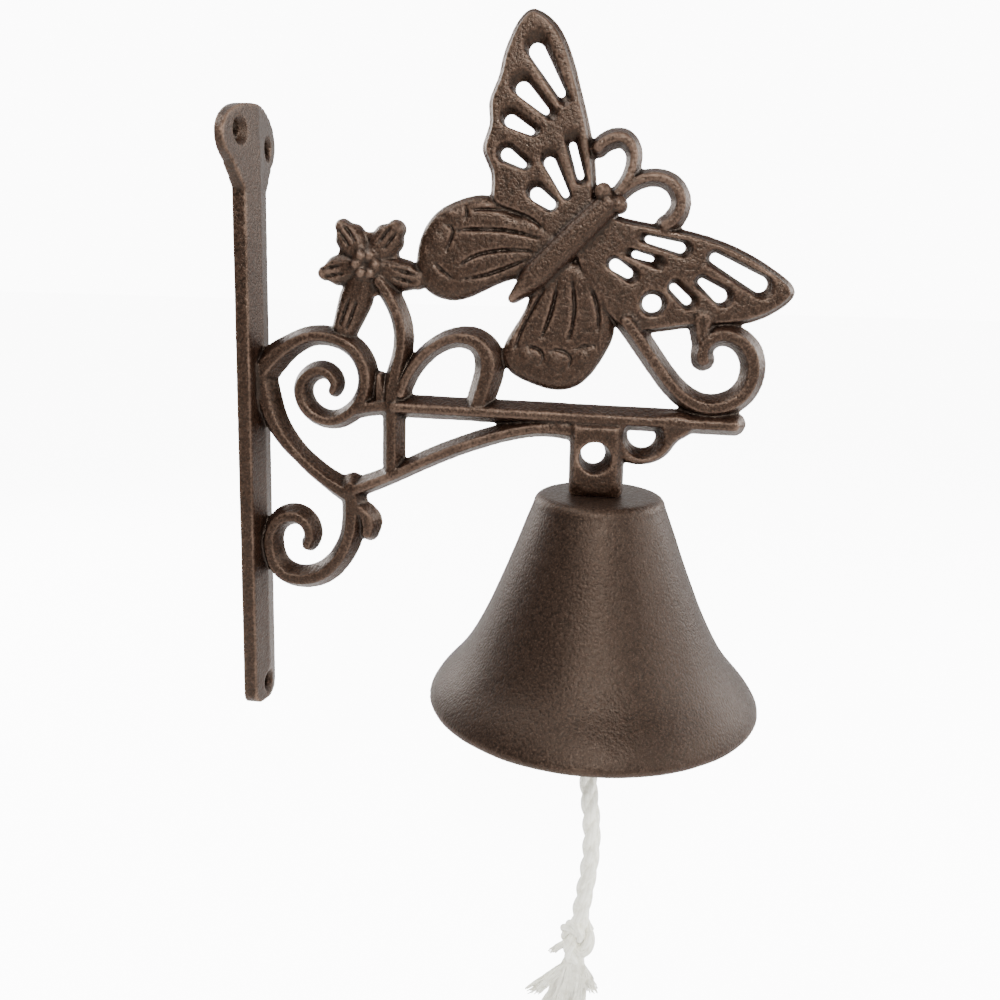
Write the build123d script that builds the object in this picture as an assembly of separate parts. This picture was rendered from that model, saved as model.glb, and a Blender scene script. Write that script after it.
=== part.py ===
from build123d import *
import os
from math import acos, atan2, cos, pi, sin, sqrt, tan

# A sand-cast iron wall bell: a scrolled bracket with a butterfly and a flower stands out of the wall on a
# narrow bar, a cone-shaped bell is bolted under its arm, and a cotton rope swings the clapper.
# Millimetres. X runs out of the wall, Y across it and Z up. The wall is X = 0, and the origin lies midway
# between the two screw holes of the ear. The casting's parting plane is Y = 0: every rib is widest there
# and falls away to both sides, as it has to in order to leave the sand.

# Wall bar and ear
BAR_BACK_HALF, BAR_EDGE_HALF = 9.3, 9.1
BAR_EDGE_X, BAR_RIDGE_X = 4.5, 6.1
BAR_FOOT_Z = -191.5
BAR_FOOT_CORNER = 5.0
EAR_HALF_Y, EAR_HALF_Z = 22.0, 11.3
EAR_NECK_Y, EAR_NECK_Z, EAR_FOOT_Z = 17.0, -6.8, -15.5
EAR_EDGE_X, EAR_RIDGE_X = 3.0, 5.9

# Wall screws: a pair in the ear, the one on the left a little higher, and one at the bar's foot
SCREW_R, SCREW_HEAD_R, SCREW_SINK = 3.0, 4.9, 1.9
EAR_SCREW_Y, EAR_SCREW_RISE = 12.0, 1.7
FOOT_SCREW_Z = -185.6
FOOT_SCREW_R, FOOT_SCREW_HEAD_R, FOOT_SCREW_SINK = 2.6, 4.6, 2.0

# Ribs: half their depth in Y, and how narrow the crest is beside the base
RIB_DEPTH = 5.0
CREST_SHARE = 0.36

# Half depths of a pierced hole's straight part, of the wings' faces, of the tools' mouths and the grooves' floors
HOLE_Y, WING_Y, BASIN_Y = 0.8, 3.6, 3.9
GROOVE_FLOOR_Y = 1.9

# Arm, post and lug
ARM_Z, ARM_HALF = -85.1, 4.0
ARM_FALL = 0.6
ARM_START_X, ARM_END_X = 52.0, 161.2
ARM_DEPTH = 5.6
POST_X, POST_HALF = 51.0, 4.0
LUG_X, LUG_HALF, LUG_DEPTH = 118.5, 8.9, 6.6
LUG_EYE, LUG_BASIN = (117.2, -96.8, 4.0), (118.5, -98.0, 5.4)

# Bell
BELL_X = 120.0
CROWN_Z, MOUTH_Z = -110.8, -182.4
CROWN_R, MOUTH_R = 21.4, 55.0
CROWN_WALL = 5.0
CROWN_HOLE_R = 3.3
CROWN_EDGE_R = 3.2

# Eye bolt with its washer and nut
BOLT_R, BOLT_TOP_Z = 3.0, -104.4
WASHER_R, WASHER_T = 8.0, 1.6
NUT_FLATS, NUT_T = 10.0, 5.0
EYE_R, EYE_WIRE_R = 5.0, 2.0
SEAT_GAP = 0.1

# Link and clapper
LINK_R, LINK_WIRE_R, LINK_STRAIGHT = 4.6, 1.4, 6.0
CLAPPER_EYE_R, CLAPPER_EYE_WIRE_R = 4.8, 1.8
CLAPPER_ROD_R, CLAPPER_BALL_R = 3.2, 9.5
CLAPPER_BALL_Z = -178.0
FOOT_EYE_R, FOOT_EYE_WIRE_R = 4.8, 1.6

# Rope
ROPE_D = 6.0
TURN_R, TURN_ROPE_R = 4.6, 2.8
HITCH_R, HITCH_HALF_H = 6.4, 5.4
KNOT_R, KNOT_HALF_H = 6.6, 8.0
TASSEL_TOP_R, TASSEL_FOOT_R = 4.0, 12.0


def level(y):
    """A sketch plane at depth y, on which local x is X and local y is Z."""
    return Plane(origin=(0, y, 0), x_dir=(1, 0, 0), z_dir=(0, -1, 0))


def drafted(face_at, levels):
    """A solid ruled through faces: face_at(grow) at each depth y of levels, which are (y, grow)."""
    sections = [level(y) * face_at(grow) for y, grow in levels]
    return loft(sections, ruled=True)


def both_sides(*levels):
    """Levels given for one side of the parting plane, mirrored to the other."""
    front = [(-y, grow) for y, grow in reversed(levels) if y > 0]
    return front + list(levels)


def outline(points, grow=0.0):
    """A closed smooth outline through points, given clockwise as seen from -Y, grown outwards by grow."""
    loop = Edge.make_spline([Vector(*p) for p in points], periodic=True)
    if grow:
        steps = 4 * len(points)
        moved = []
        for i in range(steps):
            at, along = loop.position_at(i / steps), loop.tangent_at(i / steps)
            moved.append(at + Vector(-along.Y, along.X) * grow)
        loop = Edge.make_spline(moved, periodic=True)
    return Face(Wire([loop]))


def slab(points, *levels):
    """A plate with a free outline; levels are (half depth, grow) from the parting plane outwards."""
    return drafted(lambda grow: outline(points, grow), both_sides(*levels))


def strip(points, halves, grow=0.0):
    """A face with round ends that follows a smooth centreline; halves are its half widths at the points."""
    centre = Edge.make_spline([Vector(*p) for p in points])
    spans = [sqrt((a[0] - b[0]) ** 2 + (a[1] - b[1]) ** 2) for a, b in zip(points, points[1:])]
    reach = [sum(spans[:i]) / sum(spans) for i in range(len(points))]
    steps = 3 * (len(points) - 1)
    left, right = [], []
    for i in range(steps + 1):
        share = i / steps
        k = min(max(j for j in range(len(reach)) if reach[j] <= share + 1e-9), len(reach) - 2)
        blend = (share - reach[k]) / (reach[k + 1] - reach[k])
        half = halves[k] + (halves[k + 1] - halves[k]) * blend + grow
        at, along = centre.position_at(share), centre.tangent_at(share)
        side = Vector(-along.Y, along.X)
        left.append(at + side * half)
        right.append(at - side * half)
    tip_out = centre.position_at(1) + centre.tangent_at(1) * (halves[-1] + grow)
    tip_in = centre.position_at(0) - centre.tangent_at(0) * (halves[0] + grow)
    edges = [
        Edge.make_spline(left),
        Edge.make_three_point_arc(left[-1], tip_out, right[-1]),
        Edge.make_spline(right[::-1]),
        Edge.make_three_point_arc(right[0], tip_in, left[0]),
    ]
    return Face(Wire(edges))


def domed_rib(points, halves, *levels):
    """A rib whose levels are (half depth, share of the width) from the parting plane outwards."""
    if not isinstance(halves, (list, tuple)):
        halves = [halves] * len(points)
    sections = [level(y) * strip(points, [half * share for half in halves]) for y, share in both_sides(*levels)]
    return loft(sections, ruled=True)


def rib(points, halves, depth=RIB_DEPTH, share=CREST_SHARE):
    """A cast rib: full width on the parting plane, narrowing to a crest at depth on both sides."""
    return domed_rib(points, halves, (0, 1), (depth, share))


def teardrop(cell):
    """The hull of two circles (x, z, r, x, z, r)."""
    ax, az, ar, bx, bz, br = cell
    span, turn = sqrt((bx - ax) ** 2 + (bz - az) ** 2), atan2(bz - az, bx - ax)
    open_by = acos((ar - br) / span)

    def rim(x, z, r, angle):
        return Vector(x + r * cos(angle), z + r * sin(angle))

    a1, b1 = rim(ax, az, ar, turn + open_by), rim(bx, bz, br, turn + open_by)
    a2, b2 = rim(ax, az, ar, turn - open_by), rim(bx, bz, br, turn - open_by)
    edges = [
        Edge.make_line(a1, b1),
        Edge.make_three_point_arc(b1, rim(bx, bz, br, turn), b2),
        Edge.make_line(b2, a2),
        Edge.make_three_point_arc(a2, rim(ax, az, ar, turn + pi), a1),
    ]
    return Face(Wire(edges))


def piercing(hole, basin):
    """The tool that opens a pierced cell: the hole at mid depth, and a wide basin round it on both faces."""
    return loft(
        [level(-BASIN_Y) * teardrop(basin), level(-HOLE_Y) * teardrop(hole), level(HOLE_Y) * teardrop(hole),
         level(BASIN_Y) * teardrop(basin)],
        ruled=True,
    )


def flared_hole(hole, basin, depth):
    """The tool for a round hole (x, z, r) whose flare ends in a round basin at depth on both faces."""
    circles = both_sides((HOLE_Y, hole), (depth, basin))
    return loft([level(y) * Pos(x, z) * Circle(r) for y, (x, z, r) in circles], ruled=True)


def groove(points, half, side):
    """The tool for a V-shaped groove in a wing's face, on the side that is given as -1 or 1."""
    halves = [0.6 * half] + [half] * (len(points) - 2) + [0.7 * half]
    floor = strip(points, [0.2 * h for h in halves])
    mouth = strip(points, halves)
    return loft([level(side * GROOVE_FLOOR_Y) * floor, level(side * BASIN_Y) * mouth], ruled=True)


def cone(x, z, y0, r0, y1, r1):
    """A round cone along Y from depth y0 to y1."""
    return loft([level(y0) * Pos(x, z) * Circle(r0), level(y1) * Pos(x, z) * Circle(r1)], ruled=True)


# Wall bar and ear

def wall_bar():
    section = Polygon(
        (0, -BAR_BACK_HALF), (BAR_EDGE_X, -BAR_EDGE_HALF), (BAR_RIDGE_X, 0),
        (BAR_EDGE_X, BAR_EDGE_HALF), (0, BAR_BACK_HALF), align=None,
    )
    bar = extrude(Pos(0, 0, BAR_FOOT_Z) * section, -BAR_FOOT_Z)
    foot = RectangleRounded(2 * BAR_BACK_HALF + 0.2, -2 * BAR_FOOT_Z, BAR_FOOT_CORNER)
    return bar & extrude(Plane.YZ * foot, 2 * BAR_RIDGE_X, both=True)


def ear():
    """The oval ear with its short neck down to the bar, its front a low roof along the bar's ridge."""
    neck = Polygon(
        (-EAR_NECK_Y, EAR_NECK_Z), (-BAR_BACK_HALF, EAR_FOOT_Z), (BAR_BACK_HALF, EAR_FOOT_Z), (EAR_NECK_Y, EAR_NECK_Z),
        align=None,
    )
    plate = extrude(Plane.YZ * (Ellipse(EAR_HALF_Y, EAR_HALF_Z) + neck), BAR_RIDGE_X)
    roof = Polygon(
        (0, -EAR_HALF_Y), (EAR_EDGE_X, -EAR_HALF_Y), (EAR_RIDGE_X, 0), (EAR_EDGE_X, EAR_HALF_Y), (0, EAR_HALF_Y),
        align=None,
    )
    return plate & extrude(Pos(0, 0, EAR_FOOT_Z) * roof, EAR_HALF_Z - EAR_FOOT_Z)


def screw_hole(y, z, hole_r, head_r, sink, face_x):
    """A through hole along X with a countersink at face_x."""
    hole = Pos(-1, y, z) * Rot(0, 90, 0) * Cylinder(hole_r, 12, align=(Align.CENTER, Align.CENTER, Align.MIN))
    head = Pos(face_x - sink, y, z) * Rot(0, 90, 0) * Cone(
        hole_r, head_r + (head_r - hole_r), 2 * sink, align=(Align.CENTER, Align.CENTER, Align.MIN)
    )
    return hole + head


def wall_plate():
    plate = wall_bar() + ear()
    for side in (-1, 1):
        plate -= screw_hole(
            side * EAR_SCREW_Y, -side * EAR_SCREW_RISE, SCREW_R, SCREW_HEAD_R, SCREW_SINK, 4.7
        )
    return plate - screw_hole(0, FOOT_SCREW_Z, FOOT_SCREW_R, FOOT_SCREW_HEAD_R, FOOT_SCREW_SINK, BAR_RIDGE_X)


# Scrolls, arm and stems

def scrollwork():
    upper_scroll = rib(
        [(6.4, -74.6), (10.6, -69.8), (16, -65.7), (23, -62.4), (30, -62.4), (37.4, -65.6), (41.6, -72), (41.8, -79.5),
         (37.5, -86.6), (30.3, -90.2), (24.2, -88.6), (20.3, -84.1), (19.9, -78.9), (23, -74.7), (28, -73.6),
         (31.3, -76.6), (30.8, -80.3)],
        [5.4, 5.0, 4.0, 3.5, 3.5, 3.7, 3.8, 3.6, 3.4, 3.3, 3.4, 3.4, 3.4, 3.3, 3.1, 2.9, 2.4],
        depth=5.0,
    )
    heart = rib(
        [(5.8, -74), (7.6, -84), (11.4, -93.5), (19.1, -103), (28, -110.3), (37, -115.4)],
        [4.8, 4.8, 4.1, 3.4, 3.7, 4.8], depth=4.8,
    )
    lower_scroll = rib(
        [(37, -112.5), (37.3, -121), (36.3, -129.5), (32.2, -138.2), (26, -144), (18.5, -145.8), (11.6, -143.6),
         (8.4, -136.5), (8.8, -129.5), (13, -124.4), (18.8, -124), (22.2, -128), (21.4, -133.6)],
        [4.6, 4.6, 4.2, 4.1, 4.2, 4.2, 4.2, 3.9, 3.7, 3.8, 3.7, 3.6, 3.0],
        depth=4.9,
    )
    strut = rib(
        [(36, -114), (44, -110.8), (52, -107.2), (62, -102.2), (74, -96.8), (86, -92.5), (98, -89.6), (111, -89.6)],
        [3.6, 3.4, 3.2, 3.2, 3.2, 3.2, 3.4, 4.2], depth=5.2,
    )
    bud = rib([(39.8, -119.6), (42.8, -124.2), (42.6, -128.2)], [2.8, 4.4, 3.4], depth=4.6)
    link = rib([(38.6, -86), (44, -84.8), (54, -84.6)], 3.6, depth=4.7)
    web = rib([(46.6, -74.5), (46.8, -79), (47.2, -84)], [1.4, 2.8, 3.4], depth=4.0)
    return [upper_scroll, heart, lower_scroll, strut, bud, link, web]


def arm():
    middle_x = (ARM_START_X + ARM_END_X) / 2
    run = [(ARM_START_X, ARM_Z + ARM_FALL), (middle_x, ARM_Z), (ARM_END_X, ARM_Z - ARM_FALL)]
    beam = rib(run, ARM_HALF, depth=ARM_DEPTH, share=0.3)
    post = rib([(POST_X, ARM_Z), (POST_X, -96), (POST_X, -106)], POST_HALF, depth=4.9)
    return [beam, post]


def tongue(half, top, bottom, corner):
    """The lug's face: a straight head and a foot with rounded corners."""
    slant = corner * (1 - sqrt(0.5))
    left, right = LUG_X - half, LUG_X + half
    return Face(Wire([
        Edge.make_line((left, top), (right, top)),
        Edge.make_line((right, top), (right, bottom + corner)),
        Edge.make_three_point_arc(
            (right, bottom + corner), (right - slant, bottom + slant), (right - corner, bottom)
        ),
        Edge.make_line((right - corner, bottom), (left + corner, bottom)),
        Edge.make_three_point_arc((left + corner, bottom), (left + slant, bottom + slant), (left, bottom + corner)),
        Edge.make_line((left, bottom + corner), (left, top)),
    ]))


def lug():
    """The thick tongue that the bell is bolted up against, and the pierced half-round beside it."""
    faces = both_sides(
        (0, (LUG_HALF, ARM_Z - 1, CROWN_Z, 1.0)), (4.6, (LUG_HALF - 0.6, ARM_Z - 1.5, CROWN_Z, 1.6)),
        (LUG_DEPTH, (LUG_HALF - 2.3, ARM_Z - 3, CROWN_Z + 2.2, 5.4)),
    )
    block = loft([level(y) * tongue(*face) for y, face in faces], ruled=True)
    lobe = slab(
        [(122, -85), (135, -82.5), (150, -85.5), (148.4, -89.3), (144.3, -92.2), (141.8, -95.8), (137.8, -99),
         (132.9, -100.3), (128, -99.8), (124.4, -97)],
        (0, 0), (3.2, -0.6), (5.2, -1.7),
    )
    return [block, lobe - flared_hole((132.6, -90.2, 4.5), (133.4, -90.8, 7.0), 5.4)]


def stems():
    flower_stem = rib(
        [(46.8, -44), (51.3, -51), (54, -59.5), (53.6, -67.5), (51.6, -76), (51, -83)],
        [3.6, 3.5, 3.5, 3.5, 4.0, 4.6], depth=4.8,
    )
    arch = rib(
        [(54, -80), (57.8, -71.6), (64.2, -64.8), (72, -61.3), (79, -62.5), (82.5, -67.4), (82.2, -74),
         (79.6, -83)],
        [3.0, 3.0, 3.1, 3.5, 4.4, 5.2, 5.0, 4.6], depth=5.1,
    )
    right_scroll = rib(
        [(126.4, -54.4), (132.3, -62.2), (138.3, -70.3), (143.9, -76.4), (150.5, -80), (157.5, -79.8), (163.2, -76.2),
         (166, -69.4), (164.6, -62.3), (159.4, -58), (153.4, -58.2), (150.4, -62), (150.5, -65.4)],
        [3.9, 3.9, 3.8, 3.9, 4.0, 4.1, 4.1, 4.1, 4.1, 3.8, 3.8, 3.6, 3.9],
        depth=4.9,
    )
    scroll_root = rib([(149.8, -53), (149.8, -57), (150.2, -61)], [5.6, 4.0, 3.4], depth=4.3)
    return [flower_stem, arch, right_scroll, scroll_root]


# Flower

FLOWER_X, FLOWER_Z = 42.3, -38.6
FLOWER_WEB_R = 10.4
# Each petal's tip and its half widths from root to tip
PETALS = [
    ((33.0, -25.4), (4.0, 5.4, 5.2, 2.7)), ((52.6, -26.0), (4.0, 5.4, 5.4, 3.2)), ((60.5, -43.4), (4.0, 5.2, 5.2, 3.6)),
    ((33.8, -61.2), (4.8, 5.8, 5.2, 4.6)), ((26.4, -42.0), (4.2, 5.4, 4.9, 2.6)),
]


def petal(tip, halves):
    """A petal from the flower's middle to near its tip, with two creases along it on both faces."""
    across, up = tip[0] - FLOWER_X, tip[1] - FLOWER_Z
    long = sqrt(across ** 2 + up ** 2)
    at = [(FLOWER_X + across * s, FLOWER_Z + up * s) for s in (0.15, 0.5, 0.72, 0.9)]
    leaf = domed_rib(at, halves, (0, 1), (1.6, 0.92), (3.2, 0.7), (4.0, 0.4))
    for offset in (-1.3, 1.3):
        line = [(x - up / long * offset, z + across / long * offset) for x, z in at[1:]]
        floor, mouth = strip(line, [0.05, 0.15, 0.05]), strip(line, [0.6, 0.9, 0.6])
        for side in (-1, 1):
            leaf -= loft([level(side * 2.3) * floor, level(side * 4.4) * mouth], ruled=True)
    return leaf


def flower():
    pieces = [petal(tip, halves) for tip, halves in PETALS]
    for i in range(6):
        turn = i * pi / 3
        x, z = FLOWER_X + 3.1 * cos(turn), FLOWER_Z + 3.1 * sin(turn)
        pieces.append(cone(x, z, -5.2, 0.9, 5.2, 0.9) + cone(x, z, -4.7, 1.6, 4.7, 1.6))
    pieces.append(cone(FLOWER_X, FLOWER_Z, -4.2, 4.6, 4.2, 4.6))
    return pieces + [cone(FLOWER_X, FLOWER_Z, -2.2, FLOWER_WEB_R, 2.2, FLOWER_WEB_R)]


# Butterfly

UPPER_FOREWING = [
    (95.2, 39.1), (101.9, 34.2), (106.3, 25.8), (110.0, 14.0), (113.2, 1.9), (115.2, -12.0), (113.0, -26.0),
    (106.0, -30.5), (93.5, -23.5), (82.2, -18.2), (81.9, -10.0), (79.0, -1.8), (81.0, 5.6), (80.7, 11.4),
    (83.7, 20.0), (84.5, 24.0), (87.0, 31.4), (89.8, 36.4),
]
RIGHT_FOREWING = [
    (118.0, -20.5), (128.0, -23.1), (141.3, -25.3), (156.0, -29.4), (171.0, -37.3), (177.2, -44.0),
    (172.2, -50.0), (160.5, -54.6), (144.0, -56.2), (124.0, -56.6), (117.0, -49.5), (109.5, -37.0),
    (108.5, -29.0),
]
# Each cell is its hole and its basin, both as (x, z, radius) at one end and at the other
UPPER_CELLS = [
    ((95.5, 26.8, 2.5, 103.3, 14.5, 1.2), (95.4, 28.9, 4.3, 104.9, 12.0, 2.2)),
    ((91.5, 15.7, 2.4, 98.7, 9.2, 1.0), (90.8, 17.8, 3.9, 101.2, 7.9, 2.3)),
    ((87.9, 6.3, 2.0, 94.3, 3.1, 1.0), (87.9, 7.7, 3.6, 95.8, 3.5, 2.4)),
    ((86.9, -3.8, 2.0, 92.1, -6.8, 1.0), (87.0, -3.2, 3.7, 93.4, -6.5, 2.5)),
    ((107.3, -0.9, 1.1, 110.0, -10.0, 1.1), (107.0, 1.7, 2.8, 110.6, -11.2, 2.1)),
    ((100.4, -6.2, 1.9, 105.6, -15.6, 1.1), (100.4, -4.4, 3.1, 106.4, -16.1, 1.8)),
    ((96.6, -15.8, 2.2, 101.0, -18.7, 1.6), (96.3, -14.2, 3.4, 101.3, -18.6, 2.8)),
]
RIGHT_CELLS = [
    ((131.8, -28.8, 1.1, 141.7, -31.2, 1.6), (129.9, -28.2, 1.7, 143.4, -31.6, 2.9)),
    ((152.4, -34.1, 1.6, 166.2, -41.7, 2.5), (152.0, -34.1, 3.1, 167.2, -42.6, 4.0)),
    ((127.9, -33.5, 1.1, 133.0, -34.8, 0.9), (125.5, -32.6, 1.5, 136.0, -36.0, 2.5)),
    ((121.9, -36.9, 1.9, 126.0, -39.4, 1.5), (121.0, -35.9, 2.3, 127.4, -39.8, 3.0)),
    ((133.7, -48.5, 2.8, 134.1, -48.5, 2.7), (134.1, -48.3, 4.5, 134.6, -48.3, 4.4)),
    ((140.2, -43.3, 1.2, 144.5, -47.3, 1.4), (141.0, -43.2, 3.0, 145.2, -47.1, 3.4)),
    ((148.8, -41.4, 1.1, 154.5, -45.5, 2.2), (148.6, -41.4, 2.8, 155.9, -45.7, 3.6)),
]
LEFT_HINDWING = [
    (94.0, -21.8), (105.0, -29.6), (102.0, -38.4), (89.4, -42.4), (80.1, -46.5), (72.6, -49.3), (64.9, -48.5),
    (59.9, -44.4), (58.2, -37.0), (59.2, -30.6), (63.2, -23.1), (72.0, -17.6), (81.7, -16.3),
]
LOWER_HINDWING = [
    (103.5, -35.5), (112.6, -37.3), (119.6, -47.5), (122.4, -58.4), (120.4, -64.0), (116.8, -70.2),
    (111.2, -75.7), (104.8, -77.2), (96.2, -75.3), (88.8, -71.1), (86.9, -66.0), (89.1, -59.5), (94.5, -49.5),
    (95.8, -43.9),
]
# The grooves part long feathers that run out from the body, and short hooks part the spots from them
LEFT_GROOVES = [
    [(99.6, -26.9), (94.9, -23.3), (89.3, -21.3), (83.0, -20.6), (77.0, -20.8)],
    [(97.9, -29.2), (91.5, -27.6), (84.5, -26.8), (77.4, -26.8), (71.7, -27.3)],
    [(96.3, -33.3), (91.0, -32.9), (84.6, -33.4), (78.3, -34.9), (73.3, -37.8)],
    [(94.2, -35.8), (89.0, -38.1), (82.7, -40.5), (74.8, -42.2)],
]
LEFT_HOOKS = [
    [(74.1, -19.8), (75.0, -21.6), (74.2, -23.9)], [(67.8, -25.3), (70.5, -27.4), (69.8, -30.3), (68.6, -33.6)],
    [(64.6, -37.3), (66.9, -39.5), (70.5, -42.4)],
]
LOWER_GROOVES = [
    [(100.2, -44.5), (96.8, -50.5), (93.2, -57.9), (91.4, -63.6)],
    [(104.1, -42.4), (103.4, -47.9), (101.9, -53.9), (99.9, -59.5)],
    [(108.6, -40.9), (109.5, -46.7), (109.7, -52.9), (108.4, -60.0)],
    [(112.7, -39.4), (115.2, -44.8), (117.1, -50.6), (117.4, -56.9)],
]
LOWER_HOOKS = [
    [(93.6, -63.2), (96.8, -63.2), (99.8, -64.8), (99.6, -68.2)],
    [(102.4, -64.4), (105.7, -64.0), (108.7, -65.6), (108.2, -69.3)],
    [(110.4, -63.6), (113.4, -62.4), (117.6, -62.1)],
]
LEFT_SPOTS = [(70.6, -22.6, 2.4), (65.6, -30.4, 2.7), (65.9, -41.6, 2.2)]
LOWER_SPOTS = [(95.4, -66.6, 2.6), (104.6, -68.2, 2.9), (113.4, -66.0, 2.4)]
BODY_LINE = [(119.0, -18.6), (112.3, -25.4), (104.8, -33.0), (97.2, -40.8), (90.2, -48.0)]
EYES = [(117.4, -14.7), (122.3, -18.6)]


def pierced_wing(points, cells):
    """A forewing: a ledge just off the parting plane, a flat face of narrow veins, and cells right through."""
    wing = slab(points, (0, 0), (1.2, -0.3), (1.5, -1.0), (WING_Y, -1.7))
    for hole, basin in cells:
        wing -= piercing(hole, basin)
    return wing


def hind_wing(points, grooves, hooks, spots):
    """A closed wing: a pillow with grooves between its feathers, and raised spots along its margin."""
    wing = slab(points, (0, 0), (1.6, -0.4), (3.0, -1.6), (WING_Y, -3.2))
    for side in (-1, 1):
        for line in grooves:
            wing -= groove(line, 0.95, side)
        for line in hooks:
            wing -= groove(line, 0.8, side)
    return [wing] + [
        cone(x, z, side, r, side * (WING_Y + 0.3), r - 1.1) for x, z, r in spots for side in (-1, 1)
    ]


def butterfly():
    pieces = [pierced_wing(UPPER_FOREWING, UPPER_CELLS), pierced_wing(RIGHT_FOREWING, RIGHT_CELLS)]
    pieces += hind_wing(LEFT_HINDWING, LEFT_GROOVES, LEFT_HOOKS, LEFT_SPOTS)
    pieces += hind_wing(LOWER_HINDWING, LOWER_GROOVES, LOWER_HOOKS, LOWER_SPOTS)
    pieces.append(domed_rib(
        BODY_LINE, [4.2, 4.7, 4.8, 4.8, 1.8], (0, 1), (3.4, 0.94), (5.2, 0.76), (6.2, 0.5), (6.6, 0.28)
    ))
    for x, z in EYES:
        pieces += [Pos(x, side * 4.2, z) * Sphere(2.7) for side in (-1, 1)]
        pieces.append(cone(x, z, -4.2, 2.4, 4.2, 2.4))
    upper_feeler = rib(
        [(120, -17), (124.0, -12.6), (126.0, -7.4), (126.0, -2.2), (122.8, 1.3), (118.8, 0.9), (115.4, -1.6)],
        [3.0, 2.8, 2.6, 2.8, 3.2, 3.3, 3.1], depth=4.3,
    )
    right_feeler = rib(
        [(123, -14.4), (128.6, -10.9), (134.1, -10.2), (139.1, -12.7), (141.2, -17.6), (139.6, -22.2),
         (137, -24.4)],
        [3.0, 2.9, 2.9, 3.1, 3.3, 3.5, 3.4], depth=4.2,
    )
    return pieces + [upper_feeler, right_feeler]


def bracket():
    pieces = scrollwork() + arm() + lug() + stems() + flower() + butterfly()
    casting = wall_plate().fuse(*pieces)
    casting -= flared_hole(LUG_EYE, LUG_BASIN, LUG_DEPTH + 0.3)
    tapped = Pos(BELL_X, 0, CROWN_Z - 1) * Cylinder(
        BOLT_R, BOLT_TOP_Z - CROWN_Z + 1, align=(Align.CENTER, Align.CENTER, Align.MIN)
    )
    return casting - tapped


# Bell and what hangs in it

def bell():
    drop = CROWN_Z - MOUTH_Z
    skirt = [(28.3, 0.30), (38.75, 0.64), (45.4, 0.79), (52.2, 0.90)]
    outer = [(CROWN_R, CROWN_Z - CROWN_EDGE_R)] + [(r, CROWN_Z - s * drop) for r, s in skirt]
    lip_z = MOUTH_Z + 2.2
    inner = [
        (MOUTH_R - 5.2, MOUTH_Z + 1.6), (52.2 - 5.0, CROWN_Z - 0.87 * drop), (45.4 - 4.6, CROWN_Z - 0.775 * drop),
        (38.75 - 4.0, CROWN_Z - 0.64 * drop), (28.3 - 3.6, CROWN_Z - 0.30 * drop),
        (CROWN_R - 3.4, CROWN_Z - CROWN_WALL - 3),
    ]
    edges = [
        Edge.make_line((CROWN_HOLE_R, CROWN_Z), (CROWN_R - CROWN_EDGE_R, CROWN_Z)),
        Edge.make_three_point_arc(
            (CROWN_R - CROWN_EDGE_R, CROWN_Z),
            (CROWN_R - 0.29 * CROWN_EDGE_R, CROWN_Z - 0.29 * CROWN_EDGE_R),
            (CROWN_R, CROWN_Z - CROWN_EDGE_R),
        ),
        Edge.make_spline([Vector(*p) for p in outer] + [Vector(MOUTH_R, lip_z)]),
        Edge.make_three_point_arc(
            (MOUTH_R, lip_z), (MOUTH_R - 2.6, MOUTH_Z), (MOUTH_R - 5.2, MOUTH_Z + 1.6)
        ),
        Edge.make_spline([Vector(*p) for p in inner]),
        Edge.make_three_point_arc(
            (CROWN_R - 3.4, CROWN_Z - CROWN_WALL - 3),
            (CROWN_R - 4.4, CROWN_Z - CROWN_WALL - 1),
            (CROWN_R - 6.6, CROWN_Z - CROWN_WALL),
        ),
        Edge.make_line((CROWN_R - 6.6, CROWN_Z - CROWN_WALL), (CROWN_HOLE_R, CROWN_Z - CROWN_WALL)),
        Edge.make_line((CROWN_HOLE_R, CROWN_Z - CROWN_WALL), (CROWN_HOLE_R, CROWN_Z)),
    ]
    section = Plane.XZ * Face(Wire(edges))
    return Pos(BELL_X, 0, 0) * revolve(section, Axis.Z)


WASHER_Z = CROWN_Z - CROWN_WALL
NUT_Z = WASHER_Z - WASHER_T
BOLT_EYE_Z = NUT_Z - NUT_T - 2.5 - EYE_R - EYE_WIRE_R
LINK_TOP_Z = BOLT_EYE_Z - EYE_R + EYE_WIRE_R + SEAT_GAP + LINK_WIRE_R
LINK_BOTTOM_Z = LINK_TOP_Z - 2 * LINK_R - LINK_STRAIGHT
CLAPPER_TOP_Z = LINK_BOTTOM_Z + LINK_WIRE_R + SEAT_GAP + CLAPPER_EYE_WIRE_R
FOOT_EYE_Z = CLAPPER_BALL_Z - CLAPPER_BALL_R - FOOT_EYE_R
TURN_Z = FOOT_EYE_Z - FOOT_EYE_R
HITCH_Z = TURN_Z - 6.6


def eye_ring(z, r, wire_r):
    """A wire ring standing in the bracket's plane, its axis along Y."""
    return Pos(BELL_X, 0, z) * Rot(90, 0, 0) * Torus(r, wire_r)


def rod(r, bottom, top):
    return Pos(BELL_X, 0, bottom) * Cylinder(r, top - bottom, align=(Align.CENTER, Align.CENTER, Align.MIN))


def ring_at(z, outer_r, inner_r, thick):
    """A flat ring round the bell's axis, hanging down from height z."""
    return rod(outer_r, z - thick, z) - rod(inner_r, z - thick - 1, z + 1)


def eye_bolt():
    eye = eye_ring(BOLT_EYE_Z, EYE_R, EYE_WIRE_R)
    shank = rod(BOLT_R, BOLT_EYE_Z + EYE_R, BOLT_TOP_Z)
    return shank + eye


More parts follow.
